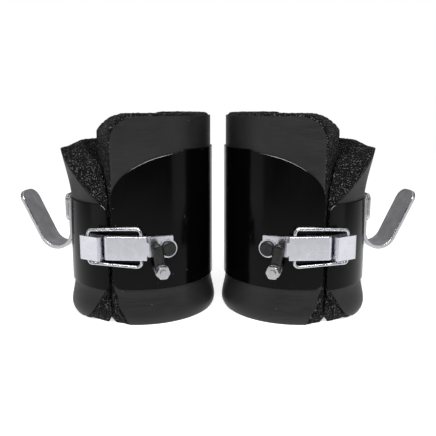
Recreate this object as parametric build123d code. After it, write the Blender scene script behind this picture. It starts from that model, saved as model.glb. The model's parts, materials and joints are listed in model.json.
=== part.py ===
from build123d import *
import os
from math import asin, cos, degrees, radians, sin, sqrt

# A mirrored pair of gravity (inversion) boots, in millimetres.
#
# Pair frame: +X right, +Y to the back, +Z up, origin on the floor under the middle of the
# pair.  The left boot stands at -X; the right boot is its mirror image in the YZ plane.
#
# Boot frame, in which one boot is drawn: the axis of its leg opening is Z, the hook is on
# -X, the calf is on +X, the latch is on -Y and the hinge is on +Y.  An angle "beta" runs
# round the boot from -Y towards +X.

# ---- driving dimensions: the pair ---------------------------------------------------------
BOOT_X = 77.0  # each boot's axis from the middle of the pair
BOOT_Y = 7.3  # and this far back, because the latches stand out more than the hinges
BOOT_YAW = 14.0  # each boot is turned this far, with its hook to the back

# ---- shells -------------------------------------------------------------------------------
SHELL_R = 71.0
SHELL_T = 1.5
SHELL_EASE = 0.5  # its outer edges are eased by this radius
REAR_BOTTOM = 34.0
REAR_TOP = 162.0
REAR_EDGE_X = -2.5
REAR_CORNER_R = 8.0
ARCH_DROP = 45.0  # the rear shell's top edge falls this far towards each seam
ARCH_LENGTH = 90.0  # measured round the shell from the seam
FRONT_BOTTOM = 32.0
FRONT_TOP = 113.0
FRONT_EDGE_X = -6.7
FRONT_TOP_CORNER_R = 9.0
FRONT_LOW_CORNER_R = 6.0

# ---- liners -------------------------------------------------------------------------------
LINER_R = 69.3  # outside, where the shells hold it
LINER_BORE_R = 48.0
SKIN_T = 3.0
LINER_FOOT_R = 73.0  # it swells below the shells
LINER_FOOT_Z = 7.0
REAR_FOAM_TOP = 194.0
REAR_SKIN_TOP = 191.5
REAR_LINER_CORNER_R = 20.0
FRONT_SKIN_TOP = 160.0
FRONT_FOAM_TOP = 168.0
FRONT_FLARE_R = 77.5  # its top leans away from the leg
FLARE_START = 115.0
LINER_GAP = 1.0
REAR_SKIN_BEVEL = (8.5, 18.0)  # cut off the lower corners: along the boot, and up
FRONT_SKIN_BEVEL = (16.0, 34.0)
FOAM_BEVEL = (2.0, 5.0)
SEAM_OUTER_X = -4.0  # where the slanted seam between the liners meets their outside
SEAM_SLANT = 40.0  # degrees, seen from above, from the Y direction towards -X
SEAM_INNER_X = -37.0  # where the seam has reached the leg opening

# ---- hinge, on the inner side of the leg ---------------------------------------------------
HINGE_X = -4.6
HINGE_Y = 75.6
KNUCKLE_R = 4.0
HINGE_PIN_R = 2.0
KNUCKLE_LENGTH = 12.4
KNUCKLE_GAP = 0.4
KNUCKLES = 5
HINGE_LOW = 43.0
LEAF_T = 1.5
LEAF_REACH = 25.0

# ---- running and riveted fits --------------------------------------------------------------
RUNNING = 0.05
RIVET_R = 1.6
RIVET_HEAD_R = 3.2
RIVET_HEAD_T = 1.2

# ---- hook ---------------------------------------------------------------------------------
HOOK_WIDTH = 30.0
HOOK_T = 4.0
HOOK_BEND_R = 16.0  # inside; it takes a bar up to twice this in diameter
HOOK_BEND_Z = 73.0
HOOK_TOP = 111.0
HOOK_ARM = 53.0
HOOK_LEAN = 27.0
HOOK_TIP_R = 11.0
HOOK_TOP_R = 5.0
HOOK_EASE = 0.8
CLAMP_T = 3.5
CLAMP_LOW = 83.6
CLAMP_TOP = 112.0
BOLT_R = 3.0
BOLT_HEAD_R = 5.5
BOLT_HEAD_T = 3.0
BOLT_Z = (90.5, 105.5)
BACKING_T = 2.0
NUT_FLATS = 10.0
NUT_T = 5.0

# ---- over-centre latch: drawn in the tangent plane at LATCH_BETA, as (u, n) -----------------
LATCH_BETA = 10.0
LATCH_Z = 75.0
LEVER_WIDTH = 22.0
LEVER_T = 1.2
LEVER_EASE = 0.9
LEVER_FACE_N = 78.2
LEVER_NOSE_R = 4.0
LEVER_END_U = 19.0
LEVER_FLANGE_N = 72.7
TONGUE_END_U = 21.5
TONGUE_WIDTH = 11.6
PIVOT_U = -16.5
PIVOT_N = LEVER_FACE_N - LEVER_NOSE_R
PIVOT_R = 1.6
EAR_R = 2.4
EAR_T = 1.2
EAR_GAP = 0.4
BAIL_END_U = 13.5
BAIL_END_N = 75.4
BAIL_HOLE_R = 1.9
BAIL_END_GAP = 0.5
BAIL_WIRE_R = 1.55
BAIL_HALF_AT_LEVER = 17.8
BAIL_HALF_AT_CATCH = 15.4
BAIL_BEND_R = (4.5, 3.0)

# ---- catch: drawn in the tangent plane at CATCH_BETA ----------------------------------------
CATCH_BETA = -16.0
CATCH_Z = 74.0
CATCH_WIDTH = 22.0
CATCH_T = 1.2
CATCH_START_U = -10.4
CATCH_END_U = 13.0
CATCH_BAR_U = -1.0  # where the bail's crossbar runs under the catch's face
CATCH_BAR_N = 79.4
CATCH_CURL_R = BAIL_WIRE_R + RUNNING + CATCH_T
CATCH_ROLL_R = 2.6  # its rolled end, towards the hook
CATCH_BASE_T = 1.5

# ---- latch base and safety bar ---------------------------------------------------------------
BASE_T = 1.2
BASE_WIDTH = 19.2
BASE_BETA = (-1.8, 44.0)
RIB_BETA = (26.5, 43.5)
RIB_HEIGHT = 8.0
RIB_T = 2.2
BUMPER_BETA = 39.0
BUMPER_Z = 73.0
BUMPER_R = 7.0
BUMPER_OUT = 78.8
RIM_R = 8.5
RIM_T = 1.2
RIM_OUT = 75.6
STUD_BETA = 32.0
STUD_Z = 56.0
STUD_R = 3.0
STUD_LUG_R = 6.5
SPACER_R = 5.5
SPACER_OUT = 79.2
BAR_IN = 79.5
SLEEVE_T = 9.0
SLEEVE_WIDTH = 9.5
BAR_T = 4.0
BAR_WIDTH = 6.0
BAR_ABOVE = 24.5
BAR_BELOW = 6.0
BAR_LEAN = 9.0
WASHER_R = 6.3
WASHER_T = 1.0
AXIAL_GAP = 0.3
SAFETY_NUT_FLATS = 11.0
STUD_PAST_NUT = 2.0

FAR = 120.0  # past the whole boot


# ---- shared shapes --------------------------------------------------------------------------
def ring(inner, outer, low, high):
    """A plain tube round the boot's axis."""
    height = high - low
    tube = Cylinder(outer, height) - Cylinder(inner, height)
    return Pos(0, 0, (low + high) / 2) * tube


def tangent_plane(beta):
    """At the boot's axis, facing outwards at beta: local x runs round the boot, local y is Z."""
    b = radians(beta)
    return Plane(origin=(0, 0, 0), x_dir=(cos(b), sin(b), 0), z_dir=(sin(b), -cos(b), 0))


def section_plane(beta, z):
    """A level plane at height z: local x runs round the boot at beta, local y points outwards."""
    b = radians(beta)
    return Plane(origin=(0, 0, z), x_dir=(cos(b), sin(b), 0), z_dir=(0, 0, -1))


def boot_xy(beta, u, n):
    """The boot-frame x and y of a point (u, n) drawn in the tangent plane at beta."""
    b = radians(beta)
    return u * cos(b) + n * sin(b), u * sin(b) - n * cos(b)


def outline(points, radii):
    """A closed flat face with one corner radius per point; 0 keeps the corner sharp."""
    return make_face(FilletPolyline(*points, radius=radii, close=True))


def outward(beta, face, low=0.0, high=FAR):
    """A face drawn in the tangent plane at beta, pulled out from radius low to radius high."""
    return extrude(tangent_plane(beta).offset(low) * face, amount=high - low)


def level_block(beta, z, width, face):
    """A face drawn as (u, n) at beta, as thick as width, centred on height z."""
    return extrude(section_plane(beta, z) * face, amount=width / 2, both=True)


def radial_rod(beta, u, z, radius, inner, outer):
    """A rod along the outward direction at beta, from one distance from the axis to another."""
    return outward(beta, Pos(u, z) * Circle(radius), inner, outer)


def rivet(beta, u, z, inner, outer):
    """A shank between two distances from the axis, with a domed head on its outer end."""
    shank = radial_rod(beta, u, z, RIVET_R, inner, outer)
    head = radial_rod(beta, u, z, RIVET_HEAD_R, outer, outer + RIVET_HEAD_T)
    rim = head.edges().filter_by(GeomType.CIRCLE).sort_by_distance(outward_point(beta, u, z, FAR))[0]
    return shank + fillet(rim, RIVET_HEAD_T * 0.6)


def outward_point(beta, u, z, n):
    """A point (u, n) at beta and height z, as a vector."""
    x, y = boot_xy(beta, u, n)
    return Vector(x, y, z)


def hexagon(across_flats):
    return RegularPolygon(across_flats / sqrt(3), 6)


# ---- shells ---------------------------------------------------------------------------------
def rear_shell_face():
    """The rear shell seen from the latch side: an arched top that falls to the seam."""
    edge_beta = degrees(asin(REAR_EDGE_X / SHELL_R))
    points = []
    for step in range(7):
        turn = radians(90.0 * step / 6)
        along = ARCH_LENGTH * (1 - cos(turn))
        beta = radians(edge_beta) + along / SHELL_R
        points.append((SHELL_R * sin(beta), REAR_TOP - ARCH_DROP + ARCH_DROP * sin(turn)))
    arch = Spline(*points, tangents=((0, 1), (1, 0)))
    corner = (REAR_EDGE_X + REAR_CORNER_R, REAR_BOTTOM + REAR_CORNER_R)
    edges = [
        arch,
        Polyline(points[-1], (FAR, REAR_TOP), (FAR, REAR_BOTTOM), (corner[0], REAR_BOTTOM)),
        CenterArc(corner, REAR_CORNER_R, 270, -90),
        Line((REAR_EDGE_X, corner[1]), points[0]),
    ]
    return make_face(edges)


def side_block(face):
    """A face drawn in the XZ plane, pulled both ways past the boot."""
    return extrude(Plane.XZ * face, amount=FAR, both=True)


def eased_shell(shell):
    """Round over the edges between a shell's outside and its rim."""
    outside = shell.faces().filter_by(GeomType.CYLINDER).sort_by(SortBy.AREA)[-1]
    return fillet(outside.edges(), SHELL_EASE)


def rear_shell_blank():
    tube = ring(SHELL_R - SHELL_T, SHELL_R, REAR_BOTTOM, REAR_TOP)
    return eased_shell(tube & side_block(rear_shell_face()))


def front_shell_blank():
    face = outline(
        [(-FAR, FRONT_BOTTOM), (FRONT_EDGE_X, FRONT_BOTTOM), (FRONT_EDGE_X, FRONT_TOP), (-FAR, FRONT_TOP)],
        [0, FRONT_LOW_CORNER_R, FRONT_TOP_CORNER_R, 0],
    )
    tube = ring(SHELL_R - SHELL_T, SHELL_R, FRONT_BOTTOM, FRONT_TOP)
    return eased_shell(tube & side_block(face))


# ---- liners ---------------------------------------------------------------------------------
def revolved(points):
    """A closed (radius, z) outline turned all the way round the boot's axis."""
    return revolve(Plane.XZ * make_face(Polyline(*points, close=True)), Axis.Z)


def seam_block(points, radii, side):
    """An outline drawn as (distance from the seam towards the front, z), run along the seam.

    side is -1 for the latch side and +1 for the hinge side."""
    slant = radians(SEAM_SLANT)
    start_y = -sqrt(LINER_R**2 - SEAM_OUTER_X**2)
    plane = Plane(
        origin=(SEAM_OUTER_X, start_y, 0),
        x_dir=(-cos(slant), -sin(slant), 0),
        z_dir=(-sin(slant), cos(slant), 0),
    )
    block = extrude(plane * outline(points, radii), amount=FAR, both=True)
    return block if side < 0 else mirror(block, about=Plane.XZ)


def half_space(side):
    """Everything on the latch side, -1, or on the hinge side, +1."""
    return Pos(0, side * FAR, 0) * Box(4 * FAR, 2 * FAR, 6 * FAR)


def behind(x):
    """Everything at a larger X than x."""
    return Pos(x + 2 * FAR, 0, 0) * Box(4 * FAR, 4 * FAR, 6 * FAR)


def liner_wall(skin_top, top_radius):
    """The outside of a liner as (radius, z) points, from the floor up."""
    wall = [(LINER_FOOT_R - 2.5, 0), (LINER_FOOT_R, LINER_FOOT_Z), (LINER_R, FRONT_BOTTOM - 1)]
    if top_radius > LINER_R:
        wall.append((LINER_R, FLARE_START))
    return wall + [(top_radius, skin_top)]


def inset(wall):
    """The same wall, one skin thickness nearer the leg."""
    return [(radius - SKIN_T, z) for radius, z in wall]


def skin_blank(wall):
    return revolved(wall + list(reversed(inset(wall))))


def rear_cut(blank, bevel):
    """Cut the rear liner at both seams, with round top corners and bevelled lower ones."""
    run, rise = bevel
    points = [(-2 * FAR, 0), (-run, 0), (0, rise), (0, REAR_FOAM_TOP), (-2 * FAR, REAR_FOAM_TOP)]
    radii = [0, 1, 1.5, REAR_LINER_CORNER_R, 0]
    blank &= behind(SEAM_INNER_X)
    return Part() + [blank & half_space(side) & seam_block(points, radii, side) for side in (-1, 1)]


def rear_liner():
    wall = liner_wall(REAR_SKIN_TOP, LINER_R)
    top = [(LINER_R - SKIN_T, REAR_FOAM_TOP), (LINER_BORE_R, REAR_FOAM_TOP)]
    foam = revolved([(LINER_BORE_R, 0)] + inset(wall) + top)
    return rear_cut(foam, FOAM_BEVEL), rear_cut(skin_blank(wall), REAR_SKIN_BEVEL)


def front_cut(blank, bevel):
    """Cut the front liner at the seams, and skive its top corners away from the leg."""
    run, rise = bevel
    points = [
        (LINER_GAP + run, 0),
        (3 * FAR, 0),
        (3 * FAR, FRONT_FOAM_TOP),
        (LINER_GAP, FRONT_FOAM_TOP),
        (LINER_GAP, rise),
    ]
    radii = [0, 0, 0, 0, 1.5]
    cut = blank - behind(SEAM_INNER_X - 1)
    for side in (-1, 1):
        cut += blank & half_space(side) & seam_block(points, radii, side)
    shoulder = ThreePointArc((-69.5, 114), (-58.8, 139), (-38, FRONT_SKIN_TOP + 1.5))
    top = Polyline((-38, FRONT_SKIN_TOP + 1.5), (-30, FRONT_FOAM_TOP + 1), (0, FRONT_FOAM_TOP + 1))
    bottom = Polyline((0, -1), (-FAR, -1), (-FAR, 114), (-69.5, 114))
    half = make_face([shoulder, top, bottom, Line((0, FRONT_FOAM_TOP + 1), (0, -1))])
    block = extrude(Plane.YZ * half, amount=FAR, both=True)
    return cut & (block + mirror(block, about=Plane.XZ))


def front_liner():
    wall = liner_wall(FRONT_SKIN_TOP, FRONT_FLARE_R)
    lip = [(FRONT_FLARE_R - 20, FRONT_FOAM_TOP), (LINER_BORE_R, FLARE_START + 5)]
    foam = revolved([(LINER_BORE_R, 0)] + inset(wall) + lip)
    pocket = Pos(-65, 0, (CLAMP_LOW + HOOK_TOP) / 2) * Box(12, 31, HOOK_TOP - CLAMP_LOW + 8)
    skin = front_cut(skin_blank(wall), FRONT_SKIN_BEVEL)
    return front_cut(foam, FOAM_BEVEL) - pocket, skin - pocket


# ---- hinge ----------------------------------------------------------------------------------
def knuckle_low(index):
    return HINGE_LOW + index * (KNUCKLE_LENGTH + KNUCKLE_GAP)


def hinge_rod(radius, low, high):
    return Pos(HINGE_X, HINGE_Y, (low + high) / 2) * Cylinder(radius, high - low)


def hinge_top():
    return knuckle_low(KNUCKLES - 1) + KNUCKLE_LENGTH


def hinge_leaf(own, other, toward, bore):
    """A leaf that follows the shell, with the knuckles numbered own; toward is -1 or +1 in X."""
    height = hinge_top() - HINGE_LOW
    middle = HINGE_LOW + height / 2
    band = ring(SHELL_R, SHELL_R + LEAF_T, HINGE_LOW, hinge_top())
    face = Pos(HINGE_X + toward * LEAF_REACH / 2, middle) * RectangleRounded(LEAF_REACH, height, 0.3)
    leaf = band & extrude(Plane.XZ * face, amount=-FAR)
    for index in other:
        low = knuckle_low(index) - KNUCKLE_GAP
        leaf -= hinge_rod(KNUCKLE_R + 0.6, low, low + KNUCKLE_LENGTH + 2 * KNUCKLE_GAP)
    for index in own:
        leaf += hinge_rod(KNUCKLE_R, knuckle_low(index), knuckle_low(index) + KNUCKLE_LENGTH)
    return leaf - hinge_rod(bore, HINGE_LOW - 1, hinge_top() + 1)


def hinge_rivet_places(toward):
    middle = (HINGE_LOW + hinge_top()) / 2
    beta = 180 - degrees(asin((HINGE_X + toward * 16.0) / SHELL_R))
    return [(beta, 0, middle + step * 22.0) for step in (-1, 0, 1)]


# ---- hook -----------------------------------------------------------------------------------
def hook():
    """A flat bar bent up into an open hook, seen along Y as (x, z)."""
    strip_in = -SHELL_R
    strip_out = strip_in - HOOK_T
    centre = (strip_out - HOOK_BEND_R, HOOK_BEND_Z)
    lean = radians(HOOK_LEAN)
    up = (-sin(lean) * HOOK_ARM, cos(lean) * HOOK_ARM)
    sweep = 180 - HOOK_LEAN

    def arm_foot(radius):
        return centre[0] - radius * cos(lean), centre[1] - radius * sin(lean)

    inner_foot = arm_foot(HOOK_BEND_R)
    outer_foot = arm_foot(HOOK_BEND_R + HOOK_T)
    inner_tip = (inner_foot[0] + up[0], inner_foot[1] + up[1])
    outer_tip = (outer_foot[0] + up[0], outer_foot[1] + up[1])
    face = make_face(
        [
            Line((strip_out, HOOK_TOP), (strip_out, HOOK_BEND_Z)),
            CenterArc(centre, HOOK_BEND_R, 0, -sweep),
            Polyline(inner_foot, inner_tip, outer_tip, outer_foot),
            CenterArc(centre, HOOK_BEND_R + HOOK_T, -sweep, sweep),
            Polyline((strip_in, HOOK_BEND_Z), (strip_in, HOOK_TOP), (strip_out, HOOK_TOP)),
        ]
    )
    bar = extrude(Plane.XZ * face, amount=HOOK_WIDTH / 2, both=True)
    tip_corners = bar.edges().filter_by(GeomType.LINE).sort_by(Axis.X)
    across = [e for e in tip_corners if abs(e.length - HOOK_T) < 0.01 and e.center().X < centre[0]]
    bar = fillet(across, HOOK_TIP_R)
    top = [e for e in bar.edges().filter_by(Axis.X) if e.center().Z > HOOK_TOP - 1]
    bar = fillet(top, HOOK_TOP_R)
    clear_of_shell = strip_in - 0.5
    sides = bar.faces().filter_by(Axis.Y)
    rims = [e for face in sides for e in face.edges() if e.center().X < clear_of_shell]
    return fillet(rims, HOOK_EASE) - bolt_holes()


def bolt_holes():
    rods = [radial_rod(-90, 0, z, BOLT_R, 50, 90) for z in BOLT_Z]
    return rods[0] + rods[1]


def hook_clamp_plate():
    outer = SHELL_R + HOOK_T + CLAMP_T
    face = Pos(0, (CLAMP_LOW + CLAMP_TOP) / 2) * RectangleRounded(HOOK_WIDTH, CLAMP_TOP - CLAMP_LOW, 6)
    plate = outward(-90, face, outer - CLAMP_T, outer)
    rim = plate.faces().sort_by(Axis.X)[0].edges()
    return fillet(rim, 1.2) - bolt_holes()


def hook_bolts():
    seat = SHELL_R + HOOK_T + CLAMP_T
    bolts = []
    for z in BOLT_Z:
        head = radial_rod(-90, 0, z, BOLT_HEAD_R, seat, seat + BOLT_HEAD_T)
        head = fillet(head.faces().sort_by(Axis.X)[0].edges(), 2.0)
        bolts.append(head + radial_rod(-90, 0, z, BOLT_R, SHELL_R - 9.5, seat))
    return bolts


def hook_backing_plate():
    inner = SHELL_R - SHELL_T - BACKING_T
    height = CLAMP_TOP - CLAMP_LOW
    face = Pos(0, CLAMP_LOW + height / 2) * RectangleRounded(28, height, 5)
    band = ring(inner, SHELL_R - SHELL_T, CLAMP_LOW - 1, CLAMP_TOP + 1)
    return (band & outward(-90, face)) - bolt_holes()


def hook_nuts():
    seat = SHELL_R - SHELL_T - BACKING_T - 0.3
    nuts = []
    for z in BOLT_Z:
        blank = outward(-90, Pos(0, z) * hexagon(NUT_FLATS), seat - NUT_T, seat)
        nuts.append(blank - radial_rod(-90, 0, z, BOLT_R, 50, 80))
    return nuts


# ---- catch and bail ---------------------------------------------------------------------------
def catch_leaf_face():
    """The leaf over the crossbar, folded down to the shell at its end, as (u, n)."""
    top = CATCH_BAR_N + CATCH_CURL_R
    inner_end = CATCH_END_U - CATCH_T
    foot = SHELL_R - 1.0
    start = CATCH_START_U + CATCH_ROLL_R
    points = [
        (start, top - CATCH_T),
        (inner_end, top - CATCH_T),
        (inner_end, foot),
        (CATCH_END_U, foot),
        (CATCH_END_U, top),
        (start, top),
    ]
    return outline(points, [0, 0.8, 0, 0, 2.0, 0])


def catch_roll_face():
    """The rolled end, and the short wall that joins it to the base leaf."""
    u = CATCH_START_U + CATCH_ROLL_R
    n = CATCH_BAR_N + CATCH_CURL_R - CATCH_ROLL_R
    roll = Pos(u, n) * (Circle(CATCH_ROLL_R) - Circle(CATCH_ROLL_R - CATCH_T))
    foot = SHELL_R - 2.0
    wall_top = n - CATCH_ROLL_R + CATCH_T / 2
    wall = Pos(u, (foot + wall_top) / 2) * Rectangle(CATCH_T, wall_top - foot)
    return roll + wall


def catch_side_view():
    """The strip seen along Z: a saddle round the bail's crossbar, open below, under the leaf."""
    saddle = Pos(CATCH_BAR_U, CATCH_BAR_N) * Circle(CATCH_CURL_R)
    opening = Pos(CATCH_BAR_U + 5, CATCH_BAR_N - 2.2) * Rectangle(10, 6.4)
    bore = Pos(CATCH_BAR_U, CATCH_BAR_N) * Circle(BAIL_WIRE_R + RUNNING)
    return (saddle - opening) + catch_leaf_face() + catch_roll_face() - bore


def catch_bracket():
    """A strip folded back over itself, which holds the bail's crossbar under its face."""
    fold = level_block(CATCH_BETA, CATCH_Z, CATCH_WIDTH, catch_side_view())
    fold -= Cylinder(SHELL_R, 4 * FAR)
    half = CATCH_WIDTH / 2
    band = ring(SHELL_R, SHELL_R + CATCH_BASE_T, CATCH_Z - half, CATCH_Z + half)
    middle = (CATCH_START_U + CATCH_END_U) / 2
    foot = Pos(middle, CATCH_Z) * Rectangle(CATCH_END_U - CATCH_START_U, 3 * CATCH_WIDTH)
    bracket = fold + (band & outward(CATCH_BETA, foot))
    for place in catch_rivet_places():
        bracket -= radial_rod(*place, RIVET_R, 60, CATCH_BAR_N)
    return bracket


def catch_rivet_places():
    return [(CATCH_BETA, 6.5, CATCH_Z - 6.0), (CATCH_BETA, 6.5, CATCH_Z + 6.0)]


def bail():
    """A bent wire: two rails that spread from the crossbar, with ends turned in at the lever."""
    catch_x, catch_y = boot_xy(CATCH_BETA, CATCH_BAR_U, CATCH_BAR_N)
    lever_x, lever_y = boot_xy(LATCH_BETA, BAIL_END_U, BAIL_END_N)
    end = LEVER_WIDTH / 2 + BAIL_END_GAP
    points = [(lever_x, lever_y, LATCH_Z + end), (lever_x, lever_y, LATCH_Z + BAIL_HALF_AT_LEVER)]
    points.append((catch_x, catch_y, LATCH_Z + BAIL_HALF_AT_CATCH))
    points.append((catch_x, catch_y, LATCH_Z - BAIL_HALF_AT_CATCH))
    points.append((lever_x, lever_y, LATCH_Z - BAIL_HALF_AT_LEVER))
    points.append((lever_x, lever_y, LATCH_Z - end))
    at_lever, at_catch = BAIL_BEND_R
    path = FilletPolyline(*points, radius=[at_lever, at_catch, at_catch, at_lever])
    start = Plane(origin=points[0], z_dir=(0, 0, 1))
    return sweep(start * Circle(BAIL_WIRE_R), path=path)


# ---- lever and latch base ---------------------------------------------------------------------
def lever_outline(shrink):
    """The lever's side view as (u, n): a nose round its pivot and a straight back."""
    nose = LEVER_NOSE_R - shrink
    top = LEVER_FACE_N - shrink
    low = LEVER_FLANGE_N
    end = LEVER_END_U + shrink
    body = Polyline((PIVOT_U, top), (end, top), (end, low), (PIVOT_U, low), close=True)
    return Pos(PIVOT_U, PIVOT_N) * Circle(nose) + make_face(body)


def lever():
    """A channel with its web outwards, rolled down at the nose and open below."""
    inner_width = LEVER_WIDTH - 2 * LEVER_T
    solid = level_block(LATCH_BETA, LATCH_Z, LEVER_WIDTH, lever_outline(0))
    sides = solid.faces().filter_by(Axis.Z)
    axis_at = outward_point(LATCH_BETA, 0, 0, 1)
    bends = [e for face in sides for e in face.edges() if e.center().dot(axis_at) > PIVOT_N + 0.5]
    solid = fillet(bends, LEVER_EASE)
    cavity = level_block(LATCH_BETA, LATCH_Z, inner_width, lever_outline(LEVER_T))
    below = Pos(PIVOT_U - 1.5, PIVOT_N - 5.0 + 1.2) * Rectangle(12, 10)
    cavity += level_block(LATCH_BETA, LATCH_Z, inner_width, below)
    tongue = outward(
        LATCH_BETA,
        outline(
            [
                (LEVER_END_U - 2, LATCH_Z - TONGUE_WIDTH / 2),
                (TONGUE_END_U, LATCH_Z - TONGUE_WIDTH / 2),
                (TONGUE_END_U, LATCH_Z + TONGUE_WIDTH / 2),
                (LEVER_END_U - 2, LATCH_Z + TONGUE_WIDTH / 2),
            ],
            [0, 1.5, 1.5, 0],
        ),
        LEVER_FACE_N - LEVER_T,
        LEVER_FACE_N,
    )
    channel = solid - cavity + tongue
    channel -= latch_rod(PIVOT_U, PIVOT_N, PIVOT_R + RUNNING, LEVER_WIDTH + 2)
    return channel - latch_rod(BAIL_END_U, BAIL_END_N, BAIL_HOLE_R, LEVER_WIDTH + 2)


def latch_rod(u, n, radius, length):
    return level_block(LATCH_BETA, LATCH_Z, length, Pos(u, n) * Circle(radius))


def base_band(outer, beta_from, beta_to, z, height, corner):
    """A curved strip on the shell between two angles."""
    middle = (beta_from + beta_to) / 2
    half = SHELL_R * sin(radians((beta_to - beta_from) / 2))
    face = Pos(0, z) * RectangleRounded(2 * half, height, corner)
    band = ring(SHELL_R, outer, z - height, z + height)
    return band & outward(middle, face)


def teardrop(stud_radius, bumper_radius):
    """The lug that carries the safety stud and the bumper, as an outline at their middle angle."""
    middle = (STUD_BETA + BUMPER_BETA) / 2
    shift = SHELL_R * sin(radians(BUMPER_BETA - middle))
    edges = CenterArc((shift, BUMPER_Z), bumper_radius, 0, 360).edges()
    edges += CenterArc((-shift, STUD_Z), stud_radius, 0, 360).edges()
    return middle, make_hull(edges)


def latch_base():
    plate = base_band(SHELL_R + BASE_T, *BASE_BETA, LATCH_Z, BASE_WIDTH, 1.5)
    middle, lug = teardrop(STUD_LUG_R, RIM_R)
    lug_low = STUD_Z - 2 * STUD_LUG_R
    plate += ring(SHELL_R, SHELL_R + BASE_T, lug_low, BUMPER_Z + 2 * RIM_R) & outward(middle, lug)
    rib_z = LATCH_Z + BASE_WIDTH / 2 - RIB_HEIGHT / 2
    plate += base_band(SHELL_R + BASE_T + RIB_T, *RIB_BETA, rib_z, RIB_HEIGHT, 1.0)
    rim = Pos(0, BUMPER_Z) * (Circle(RIM_R) - Circle(RIM_R - RIM_T))
    plate += outward(BUMPER_BETA, rim, SHELL_R + 0.4, RIM_OUT) - Cylinder(SHELL_R, 4 * FAR)
    plate -= radial_rod(BUMPER_BETA, 0, BUMPER_Z, RIM_R - RIM_T, SHELL_R + BASE_T, FAR)
    ear_middle = LEVER_WIDTH / 2 - LEVER_T - EAR_GAP - EAR_T / 2
    for side in (-1, 1):
        ear = level_block(LATCH_BETA, LATCH_Z + side * ear_middle, EAR_T, ear_face())
        plate += ear - Cylinder(SHELL_R, 4 * FAR)
    plate -= latch_rod(PIVOT_U, PIVOT_N, PIVOT_R, LEVER_WIDTH)
    for place in latch_rivet_places():
        plate -= radial_rod(*place, RIVET_R, 60, SHELL_R + 3)
    return plate


def ear_face():
    foot_u = -12.0
    foot_n = SHELL_R - 3.0
    stem = Polyline(
        (PIVOT_U - EAR_R * 0.3, PIVOT_N - EAR_R * 0.95),
        (foot_u - 2.6, foot_n),
        (foot_u + 4.0, foot_n),
        (PIVOT_U + EAR_R * 0.95, PIVOT_N + EAR_R * 0.3),
        close=True,
    )
    return Pos(PIVOT_U, PIVOT_N) * Circle(EAR_R) + make_face(stem)


def latch_rivet_places():
    return [(LATCH_BETA, -3.0, LATCH_Z), (LATCH_BETA, 9.0, LATCH_Z)]


# ---- safety bar -------------------------------------------------------------------------------
def leaning_bar(width, above, below, corner):
    """The safety bar's outline at the stud's angle: it leans from upright towards the lever."""
    body = Pos(0, (above - below) / 2) * RectangleRounded(width, above + below, corner)
    return Pos(0, STUD_Z) * Rot(0, 0, BAR_LEAN) * body


def safety_bar():
    middle = BAR_IN + SLEEVE_T / 2
    face = leaning_bar(BAR_WIDTH, BAR_ABOVE - 3, BAR_BELOW - 1.7, BAR_WIDTH / 2 - 0.1)
    bar = outward(STUD_BETA, face, middle - BAR_T / 2, middle + BAR_T / 2)
    eye = radial_rod(STUD_BETA, 0, STUD_Z, STUD_R + 1.2, middle - BAR_T / 2, middle + BAR_T / 2)
    return bar + eye - stud_bore()


def stud_bore():
    return radial_rod(STUD_BETA, 0, STUD_Z, STUD_R + RUNNING, BAR_IN - 5, BAR_IN + SLEEVE_T + 5)


def safety_sleeve():
    face = leaning_bar(SLEEVE_WIDTH, BAR_ABOVE, BAR_BELOW, SLEEVE_WIDTH / 2 - 0.1)
    sleeve = outward(STUD_BETA, face, BAR_IN, BAR_IN + SLEEVE_T)
    ends = sleeve.faces().filter_by(Plane(origin=(0, 0, 0), z_dir=outward_point(STUD_BETA, 0, 0, 1)))
    rims = [edge for face in ends for edge in face.edges()]
    sleeve = fillet(rims, 2.4)
    middle = BAR_IN + SLEEVE_T / 2
    core = outward(
        STUD_BETA,
        leaning_bar(BAR_WIDTH, BAR_ABOVE - 3, BAR_BELOW - 1.7, BAR_WIDTH / 2 - 0.1),
        middle - BAR_T / 2,
        middle + BAR_T / 2,
    )
    eye = radial_rod(STUD_BETA, 0, STUD_Z, STUD_R + 1.2, middle - BAR_T / 2, middle + BAR_T / 2)
    return sleeve - core - eye - stud_bore()


def washer_inner():
    return BAR_IN + SLEEVE_T + AXIAL_GAP


def safety_washer():
    inner = washer_inner()
    disc = radial_rod(STUD_BETA, 0, STUD_Z, WASHER_R, inner, inner + WASHER_T)
    return disc - radial_rod(STUD_BETA, 0, STUD_Z, STUD_R, 60, FAR)


def safety_nut():
    inner = washer_inner() + WASHER_T
    blank = outward(STUD_BETA, Pos(0, STUD_Z) * hexagon(SAFETY_NUT_FLATS), inner, inner + NUT_T)
    cone = radial_rod(STUD_BETA, 0, STUD_Z, SAFETY_NUT_FLATS * 0.56, inner, inner + NUT_T)
    cone = fillet(cone.edges().filter_by(GeomType.CIRCLE), 0.7)
    return (blank & cone) - radial_rod(STUD_BETA, 0, STUD_Z, STUD_R, 60, FAR)


def safety_stud():
    outer = washer_inner() + WASHER_T + NUT_T + STUD_PAST_NUT
    return radial_rod(STUD_BETA, 0, STUD_Z, STUD_R, SHELL_R + 0.9, outer)


def safety_spacer():
    tube = radial_rod(STUD_BETA, 0, STUD_Z, SPACER_R, SHELL_R + BASE_T, SPACER_OUT)
    return tube - radial_rod(STUD_BETA, 0, STUD_Z, STUD_R, 60, FAR)


def safety_bumper():
    disc = radial_rod(BUMPER_BETA, 0, BUMPER_Z, BUMPER_R, SHELL_R + BASE_T, BUMPER_OUT)
    rim = disc.edges().filter_by(GeomType.CIRCLE)
    rim = rim.sort_by_distance(outward_point(BUMPER_BETA, 0, BUMPER_Z, FAR))[0]
    return fillet(rim, 1.8)


# ---- one boot ---------------------------------------------------------------------------------
def drilled(shell, places):
    for place in places:
        shell -= radial_rod(*place, RIVET_R, 60, SHELL_R + 1)
    return shell


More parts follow.
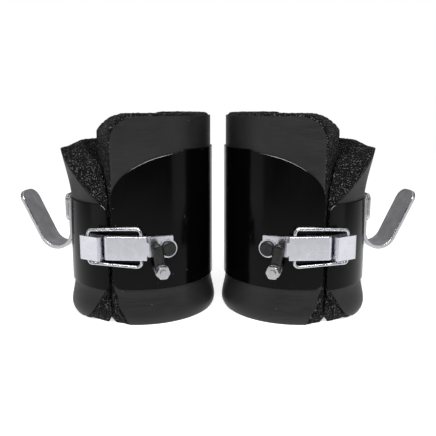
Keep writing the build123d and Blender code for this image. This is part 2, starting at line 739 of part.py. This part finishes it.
def rivets(places, plate_t):
    return [rivet(*place, SHELL_R - SHELL_T + 0.1, SHELL_R + plate_t) for place in places]


def boot():
    """Every sub-part of the left boot in the boot frame, by name."""
    rear_foam, rear_skin = rear_liner()
    front_foam, front_skin = front_liner()
    rear_places = latch_rivet_places() + hinge_rivet_places(1)
    front_places = catch_rivet_places() + hinge_rivet_places(-1)
    latch_pin = latch_rod(PIVOT_U, PIVOT_N, PIVOT_R, LEVER_WIDTH)
    return {
        "rear_shell": drilled(rear_shell_blank(), rear_places),
        "front_shell": drilled(front_shell_blank(), front_places) - bolt_holes(),
        "rear_liner_foam": rear_foam,
        "rear_liner_skin": rear_skin,
        "front_liner_foam": front_foam,
        "front_liner_skin": front_skin,
        "hinge_leaf_rear": drilled_leaf(hinge_leaf((0, 2, 4), (1, 3), 1, HINGE_PIN_R), 1),
        "hinge_leaf_front": drilled_leaf(hinge_leaf((1, 3), (0, 2, 4), -1, HINGE_PIN_R + RUNNING), -1),
        "hinge_pin": hinge_rod(HINGE_PIN_R, HINGE_LOW - 1, hinge_top() + 1),
        "hinge_rivets_rear": rivets(hinge_rivet_places(1), LEAF_T),
        "hinge_rivets_front": rivets(hinge_rivet_places(-1), LEAF_T),
        "hook": hook(),
        "hook_clamp_plate": hook_clamp_plate(),
        "hook_bolts": hook_bolts(),
        "hook_backing_plate": hook_backing_plate(),
        "hook_nuts": hook_nuts(),
        "catch_bracket": catch_bracket(),
        "catch_rivets": rivets(catch_rivet_places(), CATCH_BASE_T),
        "bail": bail(),
        "latch_base": latch_base(),
        "latch_rivets": rivets(latch_rivet_places(), BASE_T),
        "lever": lever(),
        "lever_pin": latch_pin,
        "safety_stud": safety_stud(),
        "safety_spacer": safety_spacer(),
        "safety_bar": safety_bar(),
        "safety_sleeve": safety_sleeve(),
        "safety_washer": safety_washer(),
        "safety_nut": safety_nut(),
        "safety_bumper": safety_bumper(),
    }


def drilled_leaf(leaf, toward):
    for place in hinge_rivet_places(toward):
        leaf -= radial_rod(*place, RIVET_R, 60, SHELL_R + 4)
    return leaf


def solids_of(shape):
    """A compound of the shape's solids, from one shape or a list of shapes."""
    shapes = shape if isinstance(shape, list) else [shape]
    return Compound(children=[solid for item in shapes for solid in item.solids()])


def place_left(shape):
    return Pos(-BOOT_X, BOOT_Y, 0) * Rot(0, 0, -BOOT_YAW) * shape


os.makedirs("parts", exist_ok=True)
for name, shape in boot().items():
    left = place_left(solids_of(shape))
    export_step(left, f"parts/left_{name}.step")
    export_step(mirror(left, about=Plane.YZ), f"parts/right_{name}.step")
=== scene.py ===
import json
from math import acos, asin, cos, hypot, pi, radians, sin, sqrt

import bpy
import bmesh
from mathutils import Matrix, Vector, noise


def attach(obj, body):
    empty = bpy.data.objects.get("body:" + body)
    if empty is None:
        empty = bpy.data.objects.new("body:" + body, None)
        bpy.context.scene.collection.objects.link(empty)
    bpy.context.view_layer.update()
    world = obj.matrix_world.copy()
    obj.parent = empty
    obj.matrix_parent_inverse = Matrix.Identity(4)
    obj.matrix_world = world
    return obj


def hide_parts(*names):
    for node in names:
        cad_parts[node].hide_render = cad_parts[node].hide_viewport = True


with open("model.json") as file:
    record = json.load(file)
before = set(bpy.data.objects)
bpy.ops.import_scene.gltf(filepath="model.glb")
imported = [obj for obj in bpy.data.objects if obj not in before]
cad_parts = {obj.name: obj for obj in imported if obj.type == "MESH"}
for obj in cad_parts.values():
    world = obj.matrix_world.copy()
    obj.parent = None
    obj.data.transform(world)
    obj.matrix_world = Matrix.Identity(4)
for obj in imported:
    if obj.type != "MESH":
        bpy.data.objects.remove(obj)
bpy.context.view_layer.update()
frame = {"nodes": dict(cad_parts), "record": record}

# ---- where things are, in millimetres, as in the CAD model -----------------------------------
MM = 0.001
BOOT_X = 77.0  # each boot's axis from the middle of the pair
BOOT_Y = 7.3
BOOT_YAW = 14.0  # degrees, with its hook turned to the back

LINER_R = 69.3  # outside of the liners, where the shells hold them
SKIN_T = 1.2
FOOT_R = 73.0  # they swell below the shells
FOOT_Z = 7.0
FOOT_TUCK = 2.5
SWELL_TOP = 31.0
SEAM_OUTER_X = -4.0  # where the slanted seam meets the liners' outside
SEAM_SLANT = radians(40.0)

REAR_SKIN_TOP = 191.5
REAR_CORNER_R = 22.0
REAR_SEAM_GAP = 1.6  # from the seam to the skin's edge
REAR_LOW_GAP = 2.2  # this much more below the shell
REAR_LOW_GAP_START = 34.0
REAR_LOW_GAP_FADE = 8.0
REAR_BEVEL = (8.5, 18.0)  # cut off the lower corners: along the boot, and up

FRONT_SKIN_TOP = 160.0
FRONT_FLARE_R = 77.5  # its top leans away from the leg
FLARE_START = 115.0
FLARE_CURVE = 0.6  # the share of the lean that is curved; the rest is straight
FRONT_SEAM_GAP = 3.4
FRONT_BEVEL = (17.6, 34.0)
FRONT_CLOSE_ROWS = 22.0
SKIVE = ((66.0, 116.0), (56.4, 139.3), (34.3, 160.6))  # distance from the boot's middle plane, z

SIDES = {"left": -1, "right": 1}

# ---- camera, on the middle of the pair ---------------------------------------------------------
CAMERA_BACK = 577.0 - BOOT_Y
CAMERA_UP = 203.0
CAMERA_PITCH = 11.3
CAMERA_LENS = 47.56
CAMERA_CLIP = 0.01


# ---- materials -----------------------------------------------------------------------------------
def new_material(name, **sockets):
    """A Principled material whose plain numbers sit on the shader's own sockets.

    The ones that a texture replaces stay as the plain look of a viewer without nodes."""
    material = bpy.data.materials.new(name)
    material.use_nodes = True
    shader = material.node_tree.nodes["Principled BSDF"]
    for socket, value in sockets.items():
        shader.inputs[socket.replace("_", " ")].default_value = value
    return material


def grey(level, blue=1.0):
    """A grey, with its blue made stronger by a factor."""
    return (level, level, level * blue, 1.0)


def add(material, kind, **inputs):
    """A node with some of its inputs set: a socket is linked, and anything else is a plain value."""
    node = material.node_tree.nodes.new(kind)
    for name, value in inputs.items():
        target = node.inputs[name.replace("_", " ")]
        if isinstance(value, bpy.types.NodeSocket):
            material.node_tree.links.new(value, target)
        else:
            target.default_value = value
    return node


def drive(material, socket, value):
    """Link a value to one of the shader's sockets."""
    shader = material.node_tree.nodes["Principled BSDF"]
    material.node_tree.links.new(value, shader.inputs[socket])


def point_on(material, stretch=(1.0, 1.0, 1.0)):
    """Where a point of the piece is, in metres, stretched along each axis."""
    place = add(material, "ShaderNodeTexCoord").outputs["Object"]
    mapping = add(material, "ShaderNodeMapping", Vector=place)
    mapping.inputs["Scale"].default_value = stretch
    return mapping.outputs["Vector"]


def grain(material, size_mm, detail=2.0, stretch=(1.0, 1.0, 1.0), distortion=0.0):
    """Soft noise from 0 to 1 whose features are about size_mm across."""
    node = add(
        material,
        "ShaderNodeTexNoise",
        Vector=point_on(material, stretch),
        Scale=1000.0 / size_mm,
        Detail=detail,
        Distortion=distortion,
    )
    return node.outputs["Fac"]


def cells(material, size_mm, output="Distance"):
    """The distance from the middle of a random cell about size_mm across, in cells, or its own colour."""
    place = point_on(material)
    node = add(material, "ShaderNodeTexVoronoi", Vector=place, Scale=1000.0 / size_mm)
    return node.outputs[output]


def remap(material, value, low, high, to_low, to_high):
    """A value that runs from to_low to to_high while the input runs from low to high."""
    node = add(material, "ShaderNodeMapRange", Value=value)
    limits = {"From Min": low, "From Max": high, "To Min": to_low, "To Max": to_high}
    for name, number in limits.items():
        node.inputs[name].default_value = number
    return node.outputs["Result"]


def combine(material, operation, first, second):
    """Two values, or a value and a number, put together by a math operation."""
    node = material.node_tree.nodes.new("ShaderNodeMath")
    node.operation = operation
    for index, value in enumerate((first, second)):
        if isinstance(value, bpy.types.NodeSocket):
            material.node_tree.links.new(value, node.inputs[index])
        else:
            node.inputs[index].default_value = value
    return node.outputs["Value"]


def mix_colour(material, factor, first, second):
    """The first colour where the factor is 0 and the second where it is 1."""
    node = material.node_tree.nodes.new("ShaderNodeMix")
    node.data_type = "RGBA"
    material.node_tree.links.new(factor, node.inputs["Factor"])
    for name, value in (("A", first), ("B", second)):
        target = next(s for s in node.inputs if s.name == name and s.type == "RGBA")
        if isinstance(value, bpy.types.NodeSocket):
            material.node_tree.links.new(value, target)
        else:
            target.default_value = value
    return next(s for s in node.outputs if s.type == "RGBA")


def bump(material, height, depth_mm, strength=1.0, under=None):
    """Relief of a depth, over the relief in under."""
    node = add(material, "ShaderNodeBump", Height=height, Strength=strength, Distance=depth_mm * MM)
    if under is not None:
        material.node_tree.links.new(under, node.inputs["Normal"])
    return node.outputs["Normal"]


DUST_SIZE = 0.05  # a speck's radius, as a share of the spacing
DUST_CORE = 0.7  # the share of a speck that is solid
DUST_SHARE = 0.5  # the share of the places that hold a speck
DUST_STEP = 0.02


def dust(material, spacing_mm):
    """1 on a few tiny round specks, 0 elsewhere."""
    near = remap(material, cells(material, spacing_mm), DUST_SIZE * DUST_CORE, DUST_SIZE, 1.0, 0.0)
    colour = cells(material, spacing_mm, "Color")
    chosen = remap(material, colour, DUST_SHARE, DUST_SHARE - DUST_STEP, 0.0, 1.0)
    return combine(material, "MULTIPLY", near, chosen)


def shell_material():
    """Thick gloss black paint: a slight orange peel, faint wipe marks and a few specks of dust."""
    m = new_material(
        "shell_gloss_black",
        Base_Color=grey(0.0001),
        Roughness=0.17,
        IOR=1.5,
        Specular_IOR_Level=0.13,
    )
    wipe = grain(m, 26.0, detail=4.0, stretch=(1.0, 1.0, 0.35), distortion=0.4)
    drive(m, "Roughness", remap(m, wipe, 0.3, 0.75, 0.12, 0.22))
    specks = dust(m, 8.0)
    drive(m, "Base Color", mix_colour(m, specks, grey(0.0001), grey(0.02)))
    peel = grain(m, 2.2, detail=1.0)
    waves = grain(m, 38.0, detail=1.0)
    drive(m, "Normal", bump(m, peel, 0.02, 0.5, under=bump(m, waves, 0.5, 0.25)))
    return m


def skin_material():
    """Satin rubbery skin: fine level streaks round the boot, a very fine grain and specks of dust."""
    m = new_material("skin_satin", Base_Color=grey(0.02, 1.06), Roughness=0.5, IOR=1.45)
    streaks = grain(m, 14.0, detail=5.0, stretch=(1.0, 1.0, 16.0))
    patches = grain(m, 40.0, detail=3.0)
    tone = combine(m, "MULTIPLY", streaks, patches)
    shade = remap(m, tone, 0.12, 0.42, 0.0, 1.0)
    toned = mix_colour(m, shade, grey(0.009, 1.05), grey(0.018, 1.06))
    drive(m, "Roughness", remap(m, streaks, 0.3, 0.7, 0.42, 0.56))
    specks = dust(m, 7.0)
    drive(m, "Base Color", mix_colour(m, specks, toned, grey(0.3)))
    fine = grain(m, 0.5, detail=2.0)
    drive(m, "Normal", bump(m, fine, 0.05, 0.5, under=bump(m, streaks, 0.06, 0.6)))
    return m


def foam_material():
    """Cut open-cell foam, with light and shade painted into its colour: painted shade in the pits between
    the cells, painted highlights on the cell walls that catch the light.
    """
    m = new_material(
        "foam_open_cell",
        Base_Color=grey(0.01),
        Roughness=0.65,
        IOR=1.45,
        Specular_IOR_Level=0.2,
    )
    walls = remap(m, cells(m, 1.25), 0.25, 0.75, 0.0, 1.0)
    crumbs = grain(m, 0.9, detail=2.0)
    # base colour: painted highlights on the cell walls, painted shade in the pits between them
    lit = remap(m, combine(m, "MULTIPLY", walls, crumbs), 0.42, 0.54, 0.0, 1.0)
    drive(m, "Base Color", mix_colour(m, lit, grey(0.0012), grey(0.11)))
    drive(m, "Roughness", remap(m, crumbs, 0.3, 0.7, 0.5, 0.8))
    drive(m, "Normal", bump(m, walls, 0.9, 1.0, under=bump(m, crumbs, 0.5, 0.8)))
    return m


def chrome_material():
    """Bright plating with handling scratches and a faint cloudiness."""
    m = new_material("chrome_plate", Base_Color=grey(0.72, 1.04), Metallic=1.0, Roughness=0.2)
    cloud = grain(m, 9.0, detail=4.0)
    scratch = grain(m, 1.4, detail=4.0, stretch=(1.0, 1.0, 0.12), distortion=0.6)
    cloudy = remap(m, cloud, 0.3, 0.75, 0.0, 1.0)
    drive(m, "Base Color", mix_colour(m, cloudy, grey(0.6, 1.04), grey(0.8, 1.04)))
    handled = combine(m, "MULTIPLY", cloud, scratch)
    drive(m, "Roughness", remap(m, handled, 0.15, 0.4, 0.14, 0.34))
    drive(m, "Normal", bump(m, scratch, 0.03, 0.4))
    return m


def latch_material():
    """Pressed steel with satin nickel plating, mottled and finely pitted."""
    m = new_material("latch_nickel", Base_Color=grey(0.83, 1.08), Metallic=1.0, Roughness=0.28)
    mottle = grain(m, 1.3, detail=5.0)
    cloud = grain(m, 7.0, detail=2.0)
    mottled = remap(m, mottle, 0.3, 0.7, 0.0, 1.0)
    drive(m, "Base Color", mix_colour(m, mottled, grey(0.79, 1.09), grey(0.87, 1.08)))
    drive(m, "Roughness", remap(m, combine(m, "ADD", mottle, cloud), 0.7, 1.3, 0.22, 0.34))
    drive(m, "Normal", bump(m, mottle, 0.03, 0.25))
    return m


def zinc_material():
    """Zinc-plated fasteners, with turning marks and small dull patches."""
    m = new_material("zinc_fastener", Base_Color=grey(0.66, 1.04), Metallic=1.0, Roughness=0.28)
    patches = grain(m, 1.8, detail=4.0)
    dulled = remap(m, patches, 0.3, 0.7, 0.0, 1.0)
    drive(m, "Base Color", mix_colour(m, dulled, grey(0.5, 1.05), grey(0.78, 1.03)))
    drive(m, "Roughness", remap(m, patches, 0.3, 0.75, 0.2, 0.42))
    drive(m, "Normal", bump(m, grain(m, 0.5, detail=1.0), 0.03, 0.4))
    return m


def hinge_material():
    """Plain steel strip, brushed along the hinge."""
    m = new_material("hinge_steel", Base_Color=grey(0.42, 1.02), Metallic=1.0, Roughness=0.36)
    brushed = grain(m, 0.5, detail=3.0, stretch=(1.0, 1.0, 0.05))
    drive(m, "Base Color", mix_colour(m, brushed, grey(0.3, 1.02), grey(0.55, 1.02)))
    drive(m, "Roughness", remap(m, brushed, 0.3, 0.7, 0.28, 0.46))
    drive(m, "Normal", bump(m, brushed, 0.03, 0.4))
    return m


def rubber_material():
    """Moulded black rubber, worn a little lighter in patches."""
    m = new_material("black_rubber", Base_Color=grey(0.008), Roughness=0.4, IOR=1.5)
    wear = grain(m, 3.5, detail=4.0)
    worn = remap(m, wear, 0.45, 0.8, 0.0, 1.0)
    drive(m, "Base Color", mix_colour(m, worn, grey(0.006), grey(0.03)))
    drive(m, "Roughness", remap(m, wear, 0.3, 0.7, 0.3, 0.5))
    drive(m, "Normal", bump(m, grain(m, 0.7, detail=2.0), 0.05, 0.5))
    return m


MATERIALS = {
    "shell": shell_material(),
    "skin": skin_material(),
    "foam": foam_material(),
    "chrome": chrome_material(),
    "latch": latch_material(),
    "fastener": zinc_material(),
    "hinge": hinge_material(),
    "rubber": rubber_material(),
}


def dress(piece, slot):
    """Give a piece one material only, its slot's."""
    piece.data.materials.clear()
    piece.data.materials.append(MATERIALS[slot])


def dress_cad_nodes():
    """Give every CAD node the material of its slot in the record."""
    for part in frame["record"]["subparts"]:
        dress(frame["nodes"][part["node"]], part["material_slot"])


# ---- liners: shared geometry -----------------------------------------------------------------------
def eased(share):
    """0 to 1, level at both ends."""
    share = min(1.0, max(0.0, share))
    return share * share * (3 - 2 * share)


def wall_radius(z):
    """The outside of a liner: straight in the shells, swelling below them, tucked in at the floor."""
    swell = (FOOT_R - LINER_R) * eased((SWELL_TOP - z) / (SWELL_TOP - FOOT_Z))
    tuck = FOOT_TUCK * max(0.0, 1 - z / FOOT_Z) ** 2
    return LINER_R + swell - tuck


def front_radius(z):
    """The front liner's outside, which also leans away from the leg above its shell."""
    lean = max(0.0, z - FLARE_START) / (FRONT_SKIN_TOP - FLARE_START)
    curved = lean * lean * (2 - lean) * FLARE_CURVE
    return wall_radius(z) + (FRONT_FLARE_R - LINER_R) * (curved + lean * (1 - FLARE_CURVE))


def seam_angle(radius, offset):
    """The angle from the calf at which the slanted seam, moved towards the front by offset, is at radius."""
    start_x = SEAM_OUTER_X - offset * cos(SEAM_SLANT)
    start_y = -sqrt(LINER_R**2 - SEAM_OUTER_X**2) - offset * sin(SEAM_SLANT)
    along = -sin(SEAM_SLANT) * start_x + cos(SEAM_SLANT) * start_y
    reach = along**2 - start_x**2 - start_y**2 + radius**2
    t = -along - sqrt(max(0.0, reach))
    return acos(max(-1.0, min(1.0, (start_x - t * sin(SEAM_SLANT)) / radius)))


def rear_offset(z):
    """How far the rear skin's edge stands from the seam: bevelled below, round above."""
    run, rise = REAR_BEVEL
    gap = REAR_SEAM_GAP + REAR_LOW_GAP * eased((REAR_LOW_GAP_START - z) / REAR_LOW_GAP_FADE)
    if z < rise:
        return -gap - run * (1 - z / rise)
    above = z - (REAR_SKIN_TOP - REAR_CORNER_R)
    if above > 0:
        return sqrt(max(0.0, REAR_CORNER_R**2 - above**2)) - REAR_CORNER_R - gap
    return -gap


def rear_half_angle(radius, z):
    """How far round from the calf the rear skin reaches, at a radius and height."""
    return seam_angle(radius, rear_offset(z))


def circle_through(points):
    """The centre and radius of the circle through three points."""
    (ax, ay), (bx, by), (cx, cy) = points
    d = 2 * (ax * (by - cy) + bx * (cy - ay) + cx * (ay - by))
    a2, b2, c2 = ax**2 + ay**2, bx**2 + by**2, cx**2 + cy**2
    x = (a2 * (by - cy) + b2 * (cy - ay) + c2 * (ay - by)) / d
    y = (a2 * (cx - bx) + b2 * (ax - cx) + c2 * (bx - ax)) / d
    return x, y, hypot(ax - x, ay - y)


SKIVE_CENTRE_Y, SKIVE_CENTRE_Z, SKIVE_R = circle_through(SKIVE)


def front_half_angle(radius, z):
    """How far round from the hook the front skin reaches: bevelled below, skived away above the shell."""
    run, rise = FRONT_BEVEL
    offset = FRONT_SEAM_GAP + run * max(0.0, 1 - z / rise)
    limit = pi - seam_angle(radius, offset)
    if z > SKIVE_CENTRE_Z:
        side = -1 if SKIVE_CENTRE_Y > SKIVE[1][0] else 1
        half_width = SKIVE_CENTRE_Y + side * sqrt(max(0.0, SKIVE_R**2 - (z - SKIVE_CENTRE_Z) ** 2))
        limit = min(limit, asin(min(1.0, half_width / radius)))
    return limit


def placed(side):
    """From the left boot's own millimetres to the pair's frame in metres; side is -1 or +1."""
    left = Matrix.Translation((-BOOT_X, BOOT_Y, 0)) @ Matrix.Rotation(radians(-BOOT_YAW), 4, "Z")
    flip = Matrix.Scale(-side, 4, (1, 0, 0))
    return Matrix.Scale(MM, 4) @ flip @ left


def mesh_object(name, vertices, faces, side):
    """A smooth mesh object from points in the left boot's millimetres."""
    mesh = bpy.data.meshes.new(name)
    mesh.from_pydata(vertices, [], faces)
    mesh.transform(placed(side))
    bm = bmesh.new()
    bm.from_mesh(mesh)
    bmesh.ops.recalc_face_normals(bm, faces=bm.faces)
    bm.to_mesh(mesh)
    bm.free()
    mesh.polygons.foreach_set("use_smooth", [True] * len(mesh.polygons))
    piece = bpy.data.objects.new(name, mesh)
    bpy.context.scene.collection.objects.link(piece)
    return piece


def apply_modifiers(piece):
    """Turn a piece's modifiers into its mesh."""
    graph = bpy.context.evaluated_depsgraph_get()
    made = bpy.data.meshes.new_from_object(piece.evaluated_get(graph))
    piece.modifiers.clear()
    old = piece.data
    piece.data = made
    bpy.data.meshes.remove(old)


# ---- liner skins -------------------------------------------------------------------------------------
SKIN_COLUMNS = 120
SKIN_ROW = 2.4
SKIN_CORNER_ROWS = 12
SKIN_EDGE_ROUND = 0.5
SKIN_EDGE_SEGMENTS = 3
SKIN_EDGE_ANGLE = radians(50)


def skin_levels(top, corner):
    """Heights of the rows, closer together in the last stretch, corner, where the outline turns."""
    plain = int((top - corner) / SKIN_ROW)
    levels = [(top - corner) * i / plain for i in range(plain)]
    for i in range(SKIN_CORNER_ROWS + 1):
        levels.append(top - corner + corner * sin(pi / 2 * i / SKIN_CORNER_ROWS))
    return levels


def skin_mesh(levels, radius_at, half_angle, toward):
    """A closed curved sheet: rows up the boot, an outside and an inside; toward is +1 calf, -1 hook."""
    vertices = []
    for thickness in (0.0, SKIN_T):
        for z in levels:
            radius = radius_at(z) - thickness
            half = half_angle(radius, z)
            for k in range(SKIN_COLUMNS):
                angle = half * (2 * k / (SKIN_COLUMNS - 1) - 1)
                vertices.append((toward * radius * cos(angle), radius * sin(angle), z))
    rows = len(levels)
    inside = rows * SKIN_COLUMNS

    def quad(a, b):
        return [a, b, b + inside, a + inside]

    faces = []
    for i in range(rows - 1):
        for k in range(SKIN_COLUMNS - 1):
            corner = i * SKIN_COLUMNS + k
            ring = [corner, corner + 1, corner + 1 + SKIN_COLUMNS, corner + SKIN_COLUMNS]
            faces.append(ring)
            faces.append([v + inside for v in reversed(ring)])
        for k in (0, SKIN_COLUMNS - 1):
            faces.append(quad(i * SKIN_COLUMNS + k, (i + 1) * SKIN_COLUMNS + k))
    for i in (0, rows - 1):
        for k in range(SKIN_COLUMNS - 1):
            faces.append(quad(i * SKIN_COLUMNS + k, i * SKIN_COLUMNS + k + 1))
    return vertices, faces


def make_skin(name, side, shape):
    """A thin skin with rounded edges; shape is what skin_mesh takes."""
    piece = mesh_object(name, *skin_mesh(*shape), side)
    bevel = piece.modifiers.new("round_edges", "BEVEL")
    bevel.width = SKIN_EDGE_ROUND * MM
    bevel.segments = SKIN_EDGE_SEGMENTS
    bevel.limit_method = "ANGLE"
    bevel.angle_limit = SKIN_EDGE_ANGLE
    apply_modifiers(piece)
    piece.data.polygons.foreach_set("use_smooth", [True] * len(piece.data.polygons))
    dress(piece, "skin")
    return piece


# ---- liner foam --------------------------------------------------------------------------------------
FOAM_WELD = 0.01
FOAM_VOXEL = 1.5
FOAM_SMOOTHING = 2
FOAM_SMOOTH_FACTOR = 0.5
FOAM_SINK = 0.9  # how far its outside is drawn in, under the skin
FOAM_CALM = 0.6  # the share of the bumps that its outside does without
FOAM_BUMPS = ((5.0, 0.35), (2.2, 0.55))  # size and height of the torn surface's bumps


def make_foam(name, cad_nodes, side):
    """The CAD solids of a liner, fused into one fine mesh, softened, and given a rough surface."""
    bm = bmesh.new()
    for node in cad_nodes:
        bm.from_mesh(frame["nodes"][node].data)
    bmesh.ops.remove_doubles(bm, verts=bm.verts, dist=FOAM_WELD * MM)
    mesh = bpy.data.meshes.new(name)
    bm.to_mesh(mesh)
    bm.free()
    piece = bpy.data.objects.new(name, mesh)
    bpy.context.scene.collection.objects.link(piece)
    remesh = piece.modifiers.new("even_mesh", "REMESH")
    remesh.mode = "VOXEL"
    remesh.voxel_size = FOAM_VOXEL * MM
    soften = piece.modifiers.new("soften", "SMOOTH")
    soften.iterations = FOAM_SMOOTHING
    soften.factor = FOAM_SMOOTH_FACTOR
    apply_modifiers(piece)
    keep_largest_island(piece.data)
    roughen(piece.data, placed(side) @ Vector((0, 0, 0)))
    piece.data.polygons.foreach_set("use_smooth", [True] * len(piece.data.polygons))
    dress(piece, "foam")
    return piece


def keep_largest_island(mesh):
    """Drop the closed bubbles that the remesh can leave where two fused solids meet."""
    bm = bmesh.new()
    bm.from_mesh(mesh)
    unseen = set(bm.verts)
    islands = []
    for start in bm.verts:
        if start not in unseen:
            continue
        unseen.remove(start)
        island = [start]
        for vertex in island:
            for edge in vertex.link_edges:
                other = edge.other_vert(vertex)
                if other in unseen:
                    unseen.remove(other)
                    island.append(other)
        islands.append(island)
    islands.sort(key=len)
    for island in islands[:-1]:
        bmesh.ops.delete(bm, geom=island, context="VERTS")
    bm.to_mesh(mesh)
    bm.free()


def roughen(mesh, middle):
    """Push each point in or out by a fixed noise, and draw in what faces away from the leg."""
    normals = [vertex.normal.copy() for vertex in mesh.vertices]
    moved = []
    for vertex, normal in zip(mesh.vertices, normals):
        away = vertex.co - middle
        away.z = 0
        facing = max(0.0, normal.dot(away.normalized()))
        push = sum(height * noise.noise(vertex.co / (size * MM)) for size, height in FOAM_BUMPS)
        push = push * (1 - FOAM_CALM * facing) - FOAM_SINK * facing**2
        moved.extend(vertex.co + normal * push * MM)
    mesh.vertices.foreach_set("co", moved)
    mesh.update()


def make_liners(name, side):
    rear = (skin_levels(REAR_SKIN_TOP, REAR_CORNER_R), wall_radius, rear_half_angle, 1)
    front = (skin_levels(FRONT_SKIN_TOP, FRONT_CLOSE_ROWS), front_radius, front_half_angle, -1)
    for where, shape in (("rear", rear), ("front", front)):
        body = f"{name}_{where}"
        skin = make_skin(f"{body}_skin", side, shape)
        foam = make_foam(f"{body}_foam", (f"{body}_liner_foam", f"{body}_liner_skin"), side)
        for piece, part in ((skin, "skin"), (foam, "foam")):
            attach(piece, body)
            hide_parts(f"{body}_liner_{part}")


# ---- stage ---------------------------------------------------------------------------------------------
FLOOR_R = 2.6
FLOOR_FADE = (0.7, 2.2)
FLOOR_GREY = 0.92
FLOOR_GLOW = 0.65
FLOOR_SPOKES = 96


def make_floor():
    """A round pale floor that glows faintly and fades into the white surroundings."""
    bm = bmesh.new()
    bmesh.ops.create_circle(bm, cap_ends=True, segments=FLOOR_SPOKES, radius=FLOOR_R)
    mesh = bpy.data.meshes.new("floor")
    bm.to_mesh(mesh)
    bm.free()
    floor = bpy.data.objects.new("floor", mesh)
    bpy.context.scene.collection.objects.link(floor)
    m = bpy.data.materials.new("pale_floor")
    m.use_nodes = True
    tree = m.node_tree
    tree.nodes.clear()
    place = add(m, "ShaderNodeTexCoord").outputs["Object"]
    length = tree.nodes.new("ShaderNodeVectorMath")
    length.operation = "LENGTH"
    tree.links.new(place, length.inputs[0])
    fade = remap(m, length.outputs["Value"], *FLOOR_FADE, 0.0, 1.0)
    matt = add(m, "ShaderNodeBsdfDiffuse", Color=grey(FLOOR_GREY))
    clear = add(m, "ShaderNodeBsdfTransparent")
    mix = tree.nodes.new("ShaderNodeMixShader")
    tree.links.new(fade, mix.inputs[0])
    glow = add(m, "ShaderNodeEmission", Strength=FLOOR_GLOW)
    lit = tree.nodes.new("ShaderNodeAddShader")
    tree.links.new(matt.outputs[0], lit.inputs[0])
    tree.links.new(glow.outputs[0], lit.inputs[1])
    tree.links.new(lit.outputs[0], mix.inputs[1])
    tree.links.new(clear.outputs[0], mix.inputs[2])
    out = tree.nodes.new("ShaderNodeOutputMaterial")
    tree.links.new(mix.outputs[0], out.inputs["Surface"])
    mesh.materials.append(m)
    floor.visible_glossy = False


def area_light(name, place, aim, size, power):
    """A rectangular light at a place, facing a point."""
    light = bpy.data.lights.new(name, "AREA")
    light.shape = "RECTANGLE"
    light.size, light.size_y = size
    light.energy = power
    lamp = bpy.data.objects.new(name, light)
    lamp.location = place
    lamp.rotation_mode = "QUATERNION"
    lamp.rotation_quaternion = (Vector(aim) - Vector(place)).to_track_quat("-Z", "Y")
    bpy.context.scene.collection.objects.link(lamp)
    return lamp


# The room that the object sees: from and to, in the direction's Y (1 is behind) or Z (1 is overhead),
# and the brightness at each.
ROOM_BEHIND = (-0.3, 0.8, 0.0, 0.85)
ROOM_BEHIND_HIGH = (-0.05, 0.12, 1.0, 0.25)  # the share of that which is left above the horizon
ROOM_OVERHEAD = (0.3, 0.95, 0.0, 0.6)
ROOM_LOW = (-0.13, -0.24, 0.0, 0.95)
ROOM_LEAST = 0.03


def make_world():
    """White to the camera; to the object, a room that is dark only in front and level with it."""
    world = bpy.data.worlds.new("studio")
    bpy.context.scene.world = world
    world.use_nodes = True
    tree = world.node_tree
    tree.nodes.clear()
    direction = tree.nodes.new("ShaderNodeTexCoord").outputs["Generated"]
    parts = tree.nodes.new("ShaderNodeSeparateXYZ")
    tree.links.new(direction, parts.inputs[0])
    behind = remap(world, parts.outputs["Y"], *ROOM_BEHIND)
    high = remap(world, parts.outputs["Z"], *ROOM_BEHIND_HIGH)
    back = combine(world, "MULTIPLY", behind, high)
    up = remap(world, parts.outputs["Z"], *ROOM_OVERHEAD)
    down = remap(world, parts.outputs["Z"], *ROOM_LOW)
    around = combine(world, "MAXIMUM", back, up)
    level = combine(world, "ADD", combine(world, "MAXIMUM", around, down), ROOM_LEAST)
    room = add(world, "ShaderNodeBackground", Strength=level)
    white = add(world, "ShaderNodeBackground", Strength=1.0)
    for node in (room, white):
        node.inputs["Color"].default_value = grey(1.0)
    mix = tree.nodes.new("ShaderNodeMixShader")
    tree.links.new(tree.nodes.new("ShaderNodeLightPath").outputs["Is Camera Ray"], mix.inputs[0])
    tree.links.new(room.outputs[0], mix.inputs[1])
    tree.links.new(white.outputs[0], mix.inputs[2])
    out = tree.nodes.new("ShaderNodeOutputWorld")
    tree.links.new(mix.outputs[0], out.inputs["Surface"])


LIGHTS_AIM = (0.0, 0.0, 0.1)
LIGHTS = {  # place, size, watts
    "key_top": ((0.0, -0.75, 1.05), (1.3, 0.16), 13),
    "strip_left": ((-1.0, -0.45, 0.3), (0.5, 0.9), 1.0),
    "strip_right": ((1.0, -0.45, 0.3), (0.5, 0.9), 1.0),
    "shell_edges": ((0.0, -0.8, 1.0), (1.6, 0.9), 300),
}


def make_lights():
    """Four area lights. Only the gloss shells see shell_edges, which draws their rims as thin lines."""
    lamps = {}
    for name, (place, size, power) in LIGHTS.items():
        lamps[name] = area_light(name, place, LIGHTS_AIM, size, power)
    shells = bpy.data.collections.new("shells_only")
    for part in frame["record"]["subparts"]:
        if part["material_slot"] == "shell":
            shells.objects.link(frame["nodes"][part["node"]])
    lamps["shell_edges"].light_linking.receiver_collection = shells


def make_camera():
    """A camera in front of the pair, tipped down a little."""
    lens = bpy.data.cameras.new("camera")
    lens.lens = CAMERA_LENS
    camera = bpy.data.objects.new("camera", lens)
    camera.location = Vector((0, -CAMERA_BACK, CAMERA_UP)) * MM
    camera.rotation_euler = (radians(90 - CAMERA_PITCH), 0, 0)
    lens.clip_start = CAMERA_CLIP
    bpy.context.scene.collection.objects.link(camera)
    bpy.context.scene.camera = camera


dress_cad_nodes()
for boot, side in SIDES.items():
    make_liners(boot, side)
make_floor()
make_world()
make_lights()
make_camera()
bpy.context.scene.view_settings.view_transform = "Standard"
